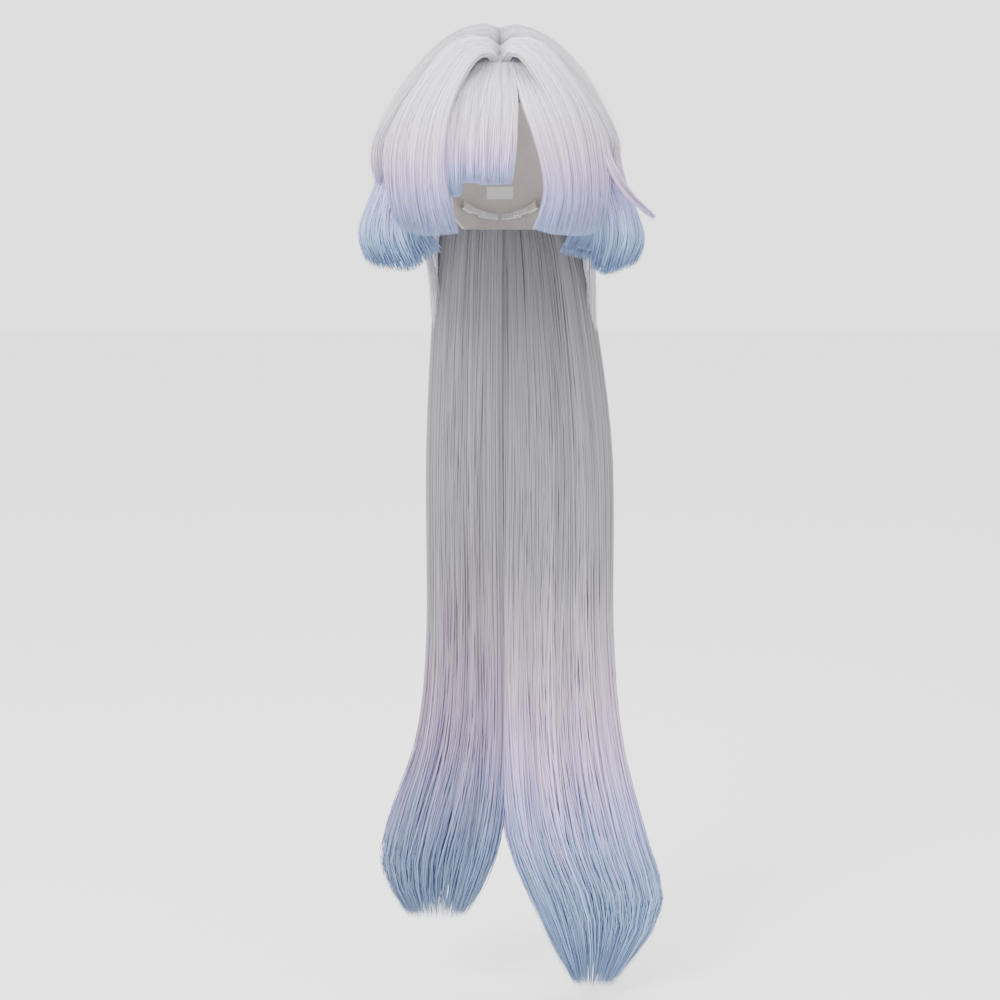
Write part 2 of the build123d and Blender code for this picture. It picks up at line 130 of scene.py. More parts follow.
def mesh_object(name, points, quads, tris, uv, tone, material):
    """A mesh with a hair-direction UV map and a hair attribute (tone, strand, along, and painted-shade
    brightness in alpha).
    """
    corners = np.concatenate([quads.ravel(), tris.ravel()]).astype(np.int32)
    sizes = np.concatenate([np.full(len(quads), 4), np.full(len(tris), 3)]).astype(np.int32)
    starts = np.concatenate([[0], np.cumsum(sizes)[:-1]]).astype(np.int32)
    mesh = bpy.data.meshes.new(name)
    mesh.vertices.add(len(points))
    mesh.vertices.foreach_set("co", points.astype(np.float32).ravel())
    mesh.loops.add(len(corners))
    mesh.loops.foreach_set("vertex_index", corners)
    mesh.polygons.add(len(sizes))
    mesh.polygons.foreach_set("loop_start", starts)
    mesh.polygons.foreach_set("loop_total", sizes)
    mesh.update(calc_edges=True)
    mesh.polygons.foreach_set("use_smooth", np.ones(len(sizes), bool))
    layer = mesh.uv_layers.new(name="strand")
    layer.data.foreach_set("uv", uv[corners].astype(np.float32).ravel())
    colour = mesh.color_attributes.new("hair", "FLOAT_COLOR", "POINT")
    colour.data.foreach_set("color", tone.astype(np.float32).ravel())
    mesh.materials.append(material)
    obj = bpy.data.objects.new(name, mesh)
    bpy.context.scene.collection.objects.link(obj)
    return obj


def strand_mesh(name, path, side, normal, width, ridge, across_id, tones, material):
    """Tapered three-sided strands. path, side and normal are (strand, point, xyz)."""
    count, n = path.shape[:2]
    half = (width / 2)[..., None]
    ring = np.stack([path - side * half, path + normal * ridge[..., None], path + side * half], axis=2)
    points = ring.reshape(-1, 3)
    base = (np.arange(count) * n * 3)[:, None, None]
    row = (np.arange(n - 1) * 3)[None, :, None]
    k = np.arange(3)[None, None, :]
    k2 = (k + 1) % 3
    a, b = base + row + k, base + row + k2
    quads = np.stack([a, a + 3, b + 3, b], axis=-1).reshape(-1, 4)
    start = (np.arange(count) * n * 3)[:, None]
    end = start + (n - 1) * 3
    caps = np.concatenate([start + [0, 1, 2], end + [2, 1, 0]])
    along = np.concatenate(
        [np.zeros((count, 1)), np.cumsum(np.linalg.norm(np.diff(path, axis=1), axis=-1), axis=1)], axis=1
    )
    u = across_id[:, None, None] * 0.05 + np.array([0, 0.5, 1.0])[None, None, :] * width[..., None]
    v = np.repeat(along[:, :, None], 3, axis=2)
    uv = np.stack([u, v], axis=-1).reshape(-1, 2)
    tone = np.repeat(tones[:, :, None, :], 3, axis=2).reshape(-1, 4)
    return mesh_object(name, points, quads, caps, uv, tone, material)


def tone_at(stops, z):
    """The tone at a height in metres, from (millimetres, tone) stops given from the top down."""
    heights, values = zip(*stops[::-1])
    return np.interp(z / MM, heights, values)


def light_at(shadow, z, u):
    """Painted shade: how bright hair is, from (millimetres, brightness) stops for a mass's front; its back
    is painted as lit.
    """
    if shadow is None:
        return 1.0
    behind = np.clip((np.sin(np.pi * u) ** 2 - 0.35) / 0.65, 0, 1)
    dim = tone_at(shadow, z)
    return dim + (1 - dim) * behind


def strands(name, drape, stops, material, count, seed, points=16, width=2.2, depth=6.0, lift=0.0,
            clumps=24, gather=0.35, wander=0.02, shorter=0.12, taper=0.25, fray=1.5,
            feather=6.0, shadow=None):
    """Locks of hair over a drape: clumped, crossing a little and ending at uneven lengths."""
    rng = np.random.default_rng(seed)
    count = max(12, int(count * DENSITY))
    width = width if DENSITY == 1 else width * 1.5
    home = (np.arange(count) + rng.random(count)) / count
    level = rng.random(count) ** 1.4
    reach = 1 - shorter * rng.random(count) ** 2
    s = np.linspace(0, 1, points)[None, :]
    t = reach[:, None] * s
    centre = (np.floor(home * clumps) + 0.5 + 0.5 * (rng.random(count) - 0.5)) / clumps
    phase = rng.random((count, 1)) * 2 * math.pi
    turns = 0.6 + rng.random((count, 1)) * 1.2
    u = home[:, None] + (centre - home)[:, None] * gather * s**1.5
    u = u + wander * np.sin(phase + turns * math.pi * s) * s
    u = np.clip(u, 0, 1)
    place, normal = drape.at(u, t)
    clump_wave = np.sin(centre * clumps * 2.4 + 1.3)[:, None] * 0.8 * s
    stand = lift - depth * level[:, None] + clump_wave + fray * rng.normal(size=(count, 1)) * s**3
    place = place + normal * (stand * MM)[..., None]
    tangent = unit(np.gradient(place, axis=1))
    side = unit(np.cross(normal, tangent))
    twist = (rng.random((count, 1, 1)) - 0.5) * 1.2
    side = unit(side + normal * twist)
    up = unit(np.cross(tangent, side))
    up = up * np.sign((up * normal).sum(-1, keepdims=True) + 1e-9)
    wide = width * (0.55 + 0.9 * rng.random(count)[:, None])
    tip = np.clip((1 - s) / taper, 0, 1) ** 0.8
    root = np.clip(s / 0.06, 0.35, 1)
    wide = np.maximum(wide * tip * root, 0.12) * MM
    lock_shade = rng.random(clumps)[np.minimum((home * clumps).astype(int), clumps - 1)]
    shade = 0.6 * rng.random(count) + 0.4 * lock_shade
    tones = np.ones((count, points, 4))
    blur = feather * MM * rng.normal(size=(count, 1))
    height = place[..., 2] + blur
    tones[..., 0] = np.clip(tone_at(stops, height) + 0.03 * rng.normal(size=(count, 1)), 0, 1)
    tones[..., 1] = shade[:, None]
    tones[..., 2] = t
    # Alpha carries painted shade: the brightness from light_at.
    tones[..., 3] = light_at(shadow, place[..., 2], u)
    ridge = wide * 0.32
    return strand_mesh(name, place, side, up, wide, ridge, np.arange(count), tones, material)


def under_sheet(name, drape, stops, material, seed, sink=7.0, thick=1.2, across=150, along=40,
                ripple=0.9, shorter=0.04, shadow=None):
    """The dense hair under the locks: a thin closed sheet with grooves along the hair, painted darker as
    shade under the locks.
    """
    rng = np.random.default_rng(seed)
    u = np.linspace(0, 1, across)[:, None] + np.zeros((1, along))
    t = np.linspace(0, 1 - shorter, along)[None, :] + np.zeros((across, 1))
    groove = rng.normal(size=across)
    groove = np.convolve(groove, [0.2, 0.5, 1, 0.5, 0.2], "same")[:, None]
    comb = rng.normal(size=across)[:, None]
    hem = 1 + 0.012 * comb * (t > 0.9)
    t = np.minimum(t * hem, 1.0)
    place, normal = drape.at(u, t)
    fade = np.clip(t * 6, 0.2, 1)
    outer = place + normal * ((-sink + ripple * groove * fade) * MM)[..., None]
    inner = place + normal * ((-sink - thick + 0.6 * ripple * groove * fade) * MM)[..., None]
    points = np.concatenate([outer.reshape(-1, 3), inner.reshape(-1, 3)])
    index = np.arange(across * along).reshape(across, along)
    a, b, c, d = index[:-1, :-1], index[1:, :-1], index[1:, 1:], index[:-1, 1:]
    face = np.stack([a, b, c, d], axis=-1).reshape(-1, 4)
    back = face[:, ::-1] + across * along
    ring = np.concatenate([index[:, 0], index[-1, 1:], index[-2::-1, -1], index[0, -2:0:-1]])
    after = np.roll(ring, -1)
    shift = across * along
    rim = np.stack([after, ring, ring + shift, after + shift], axis=-1)
    tones = np.ones((across, along, 4))
    tones[..., 0] = np.clip(tone_at(stops, place[..., 2]) + 0.02 * groove, 0, 1)
    # A low strand value darkens the sheet: painted shade under the locks, varied at random along the comb.
    tones[..., 1] = 0.25 + 0.1 * comb
    tones[..., 2] = t
    # Alpha carries painted shade: the brightness from light_at.
    tones[..., 3] = light_at(shadow, place[..., 2], u)
    tone = np.concatenate([tones.reshape(-1, 4)] * 2)
    uv = np.stack([u * drape.width, t * drape.length], axis=-1).reshape(-1, 2)
    uv = np.concatenate([uv, uv])
    quads = np.concatenate([face, back, rim])
    return mesh_object(name, points, quads, np.zeros((0, 3), int), uv, tone, material)


# ---- Materials -------------------------------------------------------------------------

def new_material(name):
    material = bpy.data.materials.new(name)
    material.use_nodes = True
    nodes = material.node_tree.nodes
    return material, nodes, material.node_tree.links, nodes["Principled BSDF"]


def hair_material(name, roughness, darken):
    """Fine lengthwise fibres over the tone gradient, a little different from lock to lock, dimmed by
    painted shade from the hair attribute's alpha and by darken.
    """
    material, nodes, links, shader = new_material(name)
    data = nodes.new("ShaderNodeAttribute")
    data.attribute_name = "hair"
    split = nodes.new("ShaderNodeSeparateColor")
    links.new(data.outputs["Color"], split.inputs[0])
    uv = nodes.new("ShaderNodeUVMap")
    uv.uv_map = "strand"
    stretch = nodes.new("ShaderNodeMapping")
    stretch.inputs["Scale"].default_value = (2600, 22, 1)
    links.new(uv.outputs[0], stretch.inputs[0])
    fibre = nodes.new("ShaderNodeTexNoise")
    fibre.inputs["Scale"].default_value = 1.0
    fibre.inputs["Detail"].default_value = 3.0
    links.new(stretch.outputs[0], fibre.inputs["Vector"])
    shift = nodes.new("ShaderNodeMath")
    shift.operation = "MULTIPLY_ADD"
    shift.inputs[1].default_value = 0.12
    shift.inputs[2].default_value = -0.06
    links.new(fibre.outputs[0], shift.inputs[0])
    tone = nodes.new("ShaderNodeMath")
    tone.operation = "ADD"
    tone.use_clamp = True
    links.new(split.outputs[0], tone.inputs[0])
    links.new(shift.outputs[0], tone.inputs[1])
    ramp = nodes.new("ShaderNodeValToRGB")
    stops = ramp.color_ramp.elements
    while len(stops) < len(HAIR_TONES):
        stops.new(0.5)
    for stop, (place, colour) in zip(stops, HAIR_TONES):
        stop.position = place
        # darken below 1 makes a painted-shade copy of the hair colours.
        stop.color = (*[c * darken for c in colour], 1)
    links.new(tone.outputs[0], ramp.inputs[0])
    strand_range = nodes.new("ShaderNodeMapRange")
    strand_range.inputs["To Min"].default_value = 0.62
    strand_range.inputs["To Max"].default_value = 1.14
    links.new(split.outputs[1], strand_range.inputs[0])
    fibre_range = nodes.new("ShaderNodeMapRange")
    fibre_range.inputs["To Min"].default_value = 0.74
    fibre_range.inputs["To Max"].default_value = 1.16
    links.new(fibre.outputs[0], fibre_range.inputs[0])
    light = nodes.new("ShaderNodeMath")
    light.operation = "MULTIPLY"
    links.new(strand_range.outputs[0], light.inputs[0])
    links.new(fibre_range.outputs[0], light.inputs[1])
    # The attribute's alpha is painted shade: it scales the hair colour down.
    dim = nodes.new("ShaderNodeMath")
    dim.operation = "MULTIPLY"
    links.new(light.outputs[0], dim.inputs[0])
    links.new(data.outputs["Alpha"], dim.inputs[1])
    shade = nodes.new("ShaderNodeVectorMath")
    shade.operation = "SCALE"
    links.new(ramp.outputs[0], shade.inputs[0])
    links.new(dim.outputs[0], shade.inputs["Scale"])
    links.new(shade.outputs[0], shader.inputs["Base Color"])
    bump = nodes.new("ShaderNodeBump")
    bump.inputs["Strength"].default_value = 0.35
    bump.inputs["Distance"].default_value = 0.0004
    links.new(fibre.outputs[0], bump.inputs["Height"])
    links.new(bump.outputs[0], shader.inputs["Normal"])
    shader.inputs["Roughness"].default_value = roughness
    shader.inputs["Specular IOR Level"].default_value = 0.45
    return material


def woven_material(name, colour, dark, scale, roughness, bump_mm=0.15):
    """Cloth with a fine two-way weave and a little soil-like variation."""
    material, nodes, links, shader = new_material(name)
    where = nodes.new("ShaderNodeTexCoord")
    heights = []
    for direction in ("Z", "DIAGONAL"):
        wave = nodes.new("ShaderNodeTexWave")
        wave.bands_direction = direction
        wave.inputs["Scale"].default_value = scale
        wave.inputs["Distortion"].default_value = 0.6
        wave.inputs["Detail"].default_value = 1.0
        links.new(where.outputs["Object"], wave.inputs["Vector"])
        heights.append(wave)
    weave = nodes.new("ShaderNodeMath")
    weave.operation = "MULTIPLY"
    links.new(heights[0].outputs["Fac"], weave.inputs[0])
    links.new(heights[1].outputs["Fac"], weave.inputs[1])
    cloud = nodes.new("ShaderNodeTexNoise")
    cloud.inputs["Scale"].default_value = 60
    links.new(where.outputs["Object"], cloud.inputs["Vector"])
    mix = nodes.new("ShaderNodeMath")
    mix.operation = "MULTIPLY_ADD"
    mix.inputs[1].default_value = 0.75
    links.new(weave.outputs[0], mix.inputs[0])
    soft = nodes.new("ShaderNodeMath")
    soft.operation = "MULTIPLY"
    soft.inputs[1].default_value = 0.35
    links.new(cloud.outputs[0], soft.inputs[0])
    links.new(soft.outputs[0], mix.inputs[2])
    ramp = nodes.new("ShaderNodeValToRGB")
    ramp.color_ramp.elements[0].color = (*dark, 1)
    ramp.color_ramp.elements[1].color = (*colour, 1)
    ramp.color_ramp.elements[1].position = 0.7
    links.new(mix.outputs[0], ramp.inputs[0])
    links.new(ramp.outputs[0], shader.inputs["Base Color"])
    bump = nodes.new("ShaderNodeBump")
    bump.inputs["Strength"].default_value = 0.5
    bump.inputs["Distance"].default_value = bump_mm * MM
    links.new(weave.outputs[0], bump.inputs["Height"])
    links.new(bump.outputs[0], shader.inputs["Normal"])
    shader.inputs["Roughness"].default_value = roughness
    shader.inputs["Sheen Weight"].default_value = 0.2
    return material


def smooth_material(name, colour, roughness, metallic, grain_scale):
    """Moulded plastic or brushed metal with a fine grain."""
    material, nodes, links, shader = new_material(name)
    where = nodes.new("ShaderNodeTexCoord")
    grain = nodes.new("ShaderNodeTexNoise")
    grain.inputs["Scale"].default_value = grain_scale
    grain.inputs["Detail"].default_value = 4
    links.new(where.outputs["Object"], grain.inputs["Vector"])
    ramp = nodes.new("ShaderNodeValToRGB")
    ramp.color_ramp.elements[0].color = (*[c * 0.8 for c in colour], 1)
    ramp.color_ramp.elements[1].color = (*colour, 1)
    links.new(grain.outputs[0], ramp.inputs[0])
    links.new(ramp.outputs[0], shader.inputs["Base Color"])
    bump = nodes.new("ShaderNodeBump")
    bump.inputs["Strength"].default_value = 0.2
    bump.inputs["Distance"].default_value = 0.05 * MM
    links.new(grain.outputs[0], bump.inputs["Height"])
    links.new(bump.outputs[0], shader.inputs["Normal"])
    shader.inputs["Roughness"].default_value = roughness
    shader.inputs["Metallic"].default_value = metallic
    return material


HAIR = hair_material("hair", 0.42, 1.0)
# The same hair material darkened to 0.86 and rougher: painted shade for the dense hair under the locks.
HAIR_SHADE = hair_material("hair_under_painted_shade", 0.6, 0.86)

CAP_MATERIALS = {
    "cap_net": woven_material("net", (0.72, 0.68, 0.66), (0.42, 0.37, 0.34), 420, 0.9),
    "trim_band": woven_material("band", (0.70, 0.64, 0.60), (0.48, 0.42, 0.38), 900, 0.85),
    "elastic_rib": woven_material("elastic", (0.76, 0.75, 0.74), (0.55, 0.53, 0.52), 700, 0.8),
    "weft_tape": woven_material("tape", (0.80, 0.79, 0.81), (0.58, 0.57, 0.60), 1100, 0.8),
    "part_skin": woven_material("skin_top", (0.76, 0.62, 0.52), (0.62, 0.47, 0.38), 1500, 0.7, 0.05),
    "label_cloth": woven_material("label", (0.90, 0.90, 0.90), (0.78, 0.78, 0.78), 1300, 0.8, 0.05),
    "stay_steel": smooth_material("stay", (0.62, 0.62, 0.64), 0.35, 1.0, 900),
    "hook_plastic": smooth_material("hook", (0.84, 0.84, 0.86), 0.4, 0.0, 500),
}
for part in frame["record"]["subparts"]:
    if part["material_slot"] in CAP_MATERIALS:
        node = frame["nodes"][part["node"]]
        node.data.materials.clear()
        node.data.materials.append(CAP_MATERIALS[part["material_slot"]])


# ---- Places of the hair, in millimetres ------------------------------------------------
# Each rail is one lock from root to tip; a drape runs smoothly through its rails.

CROWN_LEFT = [
    [(0, -63, 103), (-16, -72, 112), (-48, -77, 102), (-84, -71, 66),
     (-112, -58, 32), (-128, -46, 0), (-125, -42, -38)],
    [(0, -56, 108), (-16, -63, 116), (-46, -66, 108), (-80, -60, 78),
     (-112, -48, 42), (-133, -34, 0), (-129, -30, -41)],
    [(0, -30, 120), (-20, -32, 126), (-54, -30, 114), (-89, -26, 81),
     (-118, -18, 40), (-135, -10, -2), (-129, -6, -42)],
    [(0, 0, 125), (-22, 2, 128), (-58, 4, 113), (-92, 8, 79),
     (-119, 12, 38), (-133, 16, -2), (-127, 18, -43)],
    [(0, 30, 124), (-22, 36, 122), (-52, 44, 106), (-82, 52, 73),
     (-106, 56, 36), (-118, 54, -2), (-112, 52, -44)],
]
CROWN_RIGHT = [
    [(0, -63, 103), (15, -72, 112), (44, -77, 101), (78, -72, 66),
     (104, -58, 34), (119, -46, 6), (116, -42, -20)],
    [(0, -56, 108), (15, -63, 115), (42, -66, 107), (76, -60, 78),
     (104, -48, 44), (123, -34, 6), (119, -29, -26)],
    [(0, -30, 120), (19, -32, 125), (50, -30, 113), (85, -26, 81),
     (110, -18, 40), (126, -10, 2), (121, -6, -28)],
    [(0, 0, 125), (20, 2, 127), (55, 4, 112), (88, 8, 79),
     (112, 12, 38), (126, 16, -2), (122, 18, -34)],
    [(0, 30, 124), (20, 36, 121), (49, 44, 106), (79, 52, 73),
     (102, 56, 36), (114, 54, -2), (110, 52, -42)],
]
BACK_LEFT = [
    [(2, 44, 121), (1, 76, 107), (1, 111, 72), (0, 127, 20),
     (0, 131, -50), (0, 136, -150), (0, 144, -260)],
    [(-2, 42, 122), (-16, 73, 108), (-22, 110, 70), (-24, 125, 20),
     (-24, 129, -50), (-24, 134, -150), (-25, 143, -260)],
    [(-3, 39, 123), (-30, 68, 106), (-46, 102, 66), (-50, 117, 18),
     (-48, 125, -50), (-47, 131, -150), (-49, 140, -260)],
    [(-3, 36, 124), (-42, 60, 102), (-68, 90, 60), (-76, 104, 14),
     (-70, 115, -52), (-67, 124, -150), (-70, 133, -260)],
    [(-2, 33, 124), (-50, 52, 99), (-85, 76, 56), (-97, 86, 10),
     (-86, 100, -54), (-78, 113, -150), (-76, 126, -260)],
    [(0, 30, 124), (-54, 46, 97), (-97, 58, 50), (-113, 62, 4),
     (-98, 72, -58), (-79, 98, -140), (-72, 116, -230)],
]
BACK_RIGHT = [
    [(-2, 44, 121), (-1, 76, 107), (-1, 111, 72), (0, 127, 20),
     (0, 131, -50), (1, 136, -150), (2, 144, -260)],
    [(2, 42, 122), (16, 73, 108), (22, 110, 70), (24, 125, 20),
     (26, 129, -50), (29, 134, -150), (32, 143, -260)],
    [(3, 39, 123), (30, 68, 106), (46, 102, 66), (51, 117, 18),
     (54, 125, -50), (60, 131, -150), (68, 140, -260)],
    [(3, 36, 124), (41, 60, 102), (67, 90, 60), (77, 104, 14),
     (80, 115, -52), (88, 124, -150), (98, 133, -260)],
    [(2, 33, 124), (49, 52, 99), (84, 76, 56), (98, 86, 10),
     (98, 100, -54), (106, 113, -150), (112, 126, -260)],
    [(0, 30, 124), (53, 46, 97), (96, 58, 50), (112, 62, 4),
     (106, 72, -58), (107, 98, -140), (108, 116, -230)],
]
FRINGE = [
    [(-20, -64, 92), (-25, -76, 83), (-28, -83, 73), (-44, -97, 57),
     (-54, -103, 34), (-58, -106, 6), (-60, -103, -28), (-57, -101, -53)],
    [(-14, -64, 95), (-20, -76, 85), (-23, -84, 74), (-36, -99, 58),
     (-42, -107, 34), (-45, -111, 6), (-46, -110, -24), (-43, -108, -54)],
    [(-10, -64, 97), (-15, -76, 86), (-18, -85, 75), (-28, -101, 58),
     (-34, -109, 34), (-38, -113, 6), (-39, -113, -18), (-39, -111, -41)],
    [(-2, -64, 98), (-3, -76, 87), (-4, -86, 76), (-7, -103, 59),
     (-9, -112, 34), (-11, -116, 6), (-12, -116, -18), (-12, -114, -43)],
    [(8, -64, 97), (12, -76, 86), (15, -85, 75), (17, -102, 58),
     (18, -111, 34), (17, -116, 6), (15, -116, -18), (12, -114, -42)],
]
BANG_LEFT = [
    [(-1, -80, 84), (-9, -91, 92), (-24, -98, 87), (-42, -106, 58),
     (-53, -112, 24), (-57, -112, -18), (-53, -109, -58), (-43, -104, -92)],
    [(-1, -76, 89), (-14, -86, 100), (-36, -92, 94), (-60, -98, 60),
     (-77, -100, 24), (-84, -96, -18), (-82, -90, -58), (-73, -88, -94)],
    [(0, -70, 96), (-18, -78, 107), (-46, -84, 98), (-79, -83, 60),
     (-99, -77, 22), (-106, -71, -18), (-103, -67, -58), (-94, -68, -91)],
    [(0, -64, 102), (-20, -72, 112), (-52, -76, 102), (-92, -66, 57),
     (-116, -50, 18), (-123, -42, -17), (-119, -38, -52), (-109, -44, -82)],
]
BANG_RIGHT = [
    [(1, -80, 84), (9, -91, 93), (23, -98, 87), (42, -105, 58),
     (58, -109, 24), (68, -107, -18), (70, -102, -58), (62, -99, -93)],
    [(1, -76, 89), (13, -86, 100), (33, -92, 94), (58, -98, 62),
     (76, -97, 26), (86, -92, -18), (88, -86, -58), (80, -86, -94)],
    [(0, -70, 96), (17, -78, 106), (42, -84, 98), (73, -84, 62),
     (93, -76, 26), (102, -70, -18), (102, -66, -58), (95, -68, -92)],
    [(0, -64, 102), (19, -72, 111), (48, -76, 101), (85, -66, 59),
     (108, -51, 22), (117, -42, -15), (116, -38, -54), (107, -44, -86)],
]
BANG_RIGHT_INNER = [
    [(7, -64, 96), (11, -76, 86), (13, -85, 75), (18, -102, 58), (24, -110, 36),
     (35, -114, 4), (45, -112, -34), (44, -109, -60), (33, -105, -87)],
    [(14, -64, 94), (19, -76, 84), (22, -83, 73), (29, -99, 57), (37, -108, 36),
     (48, -112, 4), (57, -109, -34), (57, -106, -60), (47, -103, -91)],
    [(19, -64, 91), (24, -76, 82), (29, -82, 71), (40, -96, 56), (50, -104, 36),
     (62, -107, 4), (69, -103, -34), (69, -100, -60), (60, -98, -93)],
    [(23, -63, 90), (29, -72, 83), (38, -80, 73), (52, -92, 56), (64, -98, 34),
     (75, -99, 4), (80, -96, -34), (80, -92, -60), (72, -92, -90)],
]
FLARE_LEFT = [
    [(-80, -28, 12), (-80, -32, -40), (-76, -36, -84), (-62, -36, -106)],
    [(-100, -36, 12), (-104, -40, -38), (-108, -45, -90), (-92, -44, -130)],
    [(-117, -28, 10), (-128, -32, -38), (-144, -37, -88), (-130, -34, -128)],
    [(-123, -2, 8), (-134, 0, -38), (-150, 2, -86), (-142, 2, -120)],
    [(-117, 28, 10), (-127, 32, -38), (-142, 36, -88), (-132, 34, -120)],
    [(-103, 46, 10), (-106, 52, -38), (-111, 56, -90), (-98, 54, -118)],
    [(-84, 50, 8), (-84, 56, -38), (-78, 60, -86), (-66, 58, -112)],
]
FLARE_RIGHT = [
    [(92, -32, 12), (96, -36, -40), (100, -40, -88), (96, -38, -128)],
    [(106, -36, 12), (112, -40, -38), (122, -45, -90), (112, -42, -135)],
    [(118, -28, 10), (129, -32, -38), (147, -37, -90), (132, -32, -130)],
    [(124, -2, 8), (135, 0, -38), (153, 2, -90), (146, 2, -124)],
    [(118, 28, 10), (127, 32, -38), (143, 36, -90), (134, 34, -122)],
    [(102, 46, 10), (106, 52, -38), (111, 56, -90), (98, 54, -120)],
    [(84, 50, 8), (84, 56, -38), (78, 60, -86), (66, 58, -112)],
]
FLICK = [
    [(84, -62, 44), (99, -60, 14), (113, -55, -22), (134, -50, -54), (164, -44, -74)],
    [(88, -58, 46), (104, -54, 14), (118, -51, -22), (138, -48, -52), (164, -43, -74)],
    [(90, -52, 46), (108, -48, 14), (122, -47, -21), (142, -46, -51), (165, -42, -74)],
]
# Each section of a long mass is (z, inner x, outer x, front y, back y).
LONG_LEFT = [
    (-34, 4, -56, 98, 111),
    (-90, 5, -68, 98, 119),
    (-165, 5, -76, 100, 130),
    (-340, 6, -85, 106, 142),
    (-560, 7, -85, 110, 149),
    (-680, 7, -96, 113, 154),
    (-770, 3, -125, 116, 158),
    (-840, -12, -139, 122, 160),
    (-905, -44, -108, 130, 156),
]
LONG_RIGHT = [
    (-34, 2, 62, 98, 111),
    (-90, 2, 88, 98, 119),
    (-165, 2, 106, 100, 130),
    (-340, 1, 130, 106, 142),
    (-560, 0, 133, 110, 149),
    (-690, 0, 145, 113, 156),
    (-800, 9, 171, 117, 162),
    (-895, 46, 192, 124, 164),
    (-992, 92, 134, 136, 154),
]


def oval_rails(sections, rail_count=17):
    """Rails round a long mass, starting and ending at the middle of its front."""
    rails = []
    for k in range(rail_count):
        angle = 2 * math.pi * k / (rail_count - 1)
        rail = []
        for z, x_in, x_out, y_front, y_back in sections:
            turn = math.sin(angle)
            x = (x_in + x_out) / 2 + (x_out - x_in) / 2 * math.copysign(abs(turn) ** 0.8, turn)
            y = (y_front + y_back) / 2 - (y_back - y_front) / 2 * math.cos(angle)
            rail.append((x, y, z))
        rails.append(rail)
    return rails


# ---- The hair --------------------------------------------------------------------------

# The tone at each height, in millimetres from the top down.
CROWN_STOPS = [(40, 0.0), (10, 0.08), (-12, 0.28), (-30, 0.42), (-42, 0.6)]
FRINGE_STOPS = [(50, 0.0), (20, 0.1), (2, 0.28), (-14, 0.42), (-28, 0.58), (-42, 0.74), (-54, 0.8)]
BANG_STOPS = [(50, 0.0), (18, 0.1), (-5, 0.28), (-32, 0.4), (-55, 0.52), (-76, 0.66), (-92, 0.76)]
FLARE_STOPS = [(10, 0.25), (-25, 0.42), (-50, 0.58), (-85, 0.74), (-108, 0.9), (-120, 1.0)]
BACK_STOPS = [(0, 0.0), (-190, 0.02)]
LONG_STOPS = [(-440, 0.02), (-560, 0.12), (-625, 0.28), (-700, 0.36), (-745, 0.45), (-790, 0.62),
              (-850, 0.76), (-990, 0.88)]
# Painted shade on the long hair: darkest behind the neck and light at its ends, the brightness at each
# height.
LONG_SHADOW = {
    "left": [(-130, 0.26), (-480, 0.29), (-600, 0.4), (-720, 0.5), (-900, 0.75)],
    "right": [(-130, 0.2), (-480, 0.32), (-600, 0.56), (-720, 0.85), (-990, 0.95)],
}
# The left mass turns blue a little higher up.
LEFT_RISE = 40


# Heights at one y where hair was meant to bend from the cap to its moving body, as (start z, end z, y);
# on_joint takes them but applies no bend.
SIDE_BEND = (32, 2, 0)
LONG_BEND = (-34, -90, 126)
FRONT_BEND = (84, 50, -100)


def bend(piece):
    """Bakes the piece's transform into its mesh."""
    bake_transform(piece)


def on_joint(pieces, body, place, slot, *nodes):
    """Bakes each piece's transform and hides the nodes that the pieces stand for."""
    for piece in pieces:
        bend(piece)
        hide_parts(*nodes)


def crown_side(side, rails, seed):
    """Hair from the parting over one side of the head."""
    drape = Drape(rails)
    pieces = [under_sheet(f"crown_{side}_under", drape, CROWN_STOPS, HAIR_SHADE, seed)]
    for k in range(2):
        pieces.append(strands(
            f"crown_{side}_locks_{k + 1}", drape, CROWN_STOPS, HAIR, 1500, seed + k + 1,
            points=18, width=1.8, depth=7 - 3 * k, clumps=34, shorter=0.16,
        ))
    on_joint(pieces, f"side_{side}", SIDE_BEND, "hair_crown",
             f"crown_hair_{side}", f"side_layer_{side}")


def back_half(side, rails, seed):
    """Hair from the crown down over the top of a long mass."""
    drape = Drape(rails)
    pieces = [under_sheet(f"back_{side}_under", drape, BACK_STOPS, HAIR_SHADE, seed, shorter=0.25)]
    for k in range(2):
        pieces.append(strands(
            f"back_{side}_locks_{k + 1}", drape, BACK_STOPS, HAIR, 1300, seed + k + 1,
            points=15, width=2.1, depth=7 - 3 * k, clumps=34, shorter=0.45, taper=0.4,
        ))
    on_joint(pieces, f"long_{side}", LONG_BEND, "hair_crown", "crown_hair_back")


def long_mass(side, sections, seed):
    """One long mass, combed all round its flat oval."""
    rise = LEFT_RISE if side == "left" else 0
    stops = [(z + rise, tone) for z, tone in LONG_STOPS]
    drape = Drape(oval_rails(sections), round_itself=True, across=96, along=110)
    pieces = [under_sheet(f"long_{side}_under", drape, stops, HAIR_SHADE, seed, sink=6,
                          across=260, along=60, shorter=0.08, shadow=LONG_SHADOW[side])]
    for k in range(3):
        pieces.append(strands(
            f"long_{side}_locks_{k + 1}", drape, stops, HAIR, 1300, seed + k + 1,
            points=25, width=2.3, depth=8 - 2.5 * k, clumps=46, gather=0.35, wander=0.03,
            shorter=0.12, taper=0.14, fray=3.0, feather=22, shadow=LONG_SHADOW[side],
        ))
    on_joint(pieces, f"long_{side}", LONG_BEND, "hair_long",
             f"long_hair_{side}", f"long_under_{side}")


def fan(name, body, rails, stops, seed, count, nodes, **looks):
    """Front hair that lifts: the fringe or a side bang."""
    drape = Drape(rails)
    pieces = [under_sheet(f"{name}_under", drape, stops, HAIR_SHADE, seed, sink=6, shorter=0.12)]
    for k in range(2):
        pieces.append(strands(
            f"{name}_locks_{k + 1}", drape, stops, HAIR, count, seed + k + 1,
            points=16, width=1.5, depth=5 - 2 * k, **looks,
        ))
    on_joint(pieces, body, FRONT_BEND, "hair_fringe", *nodes)


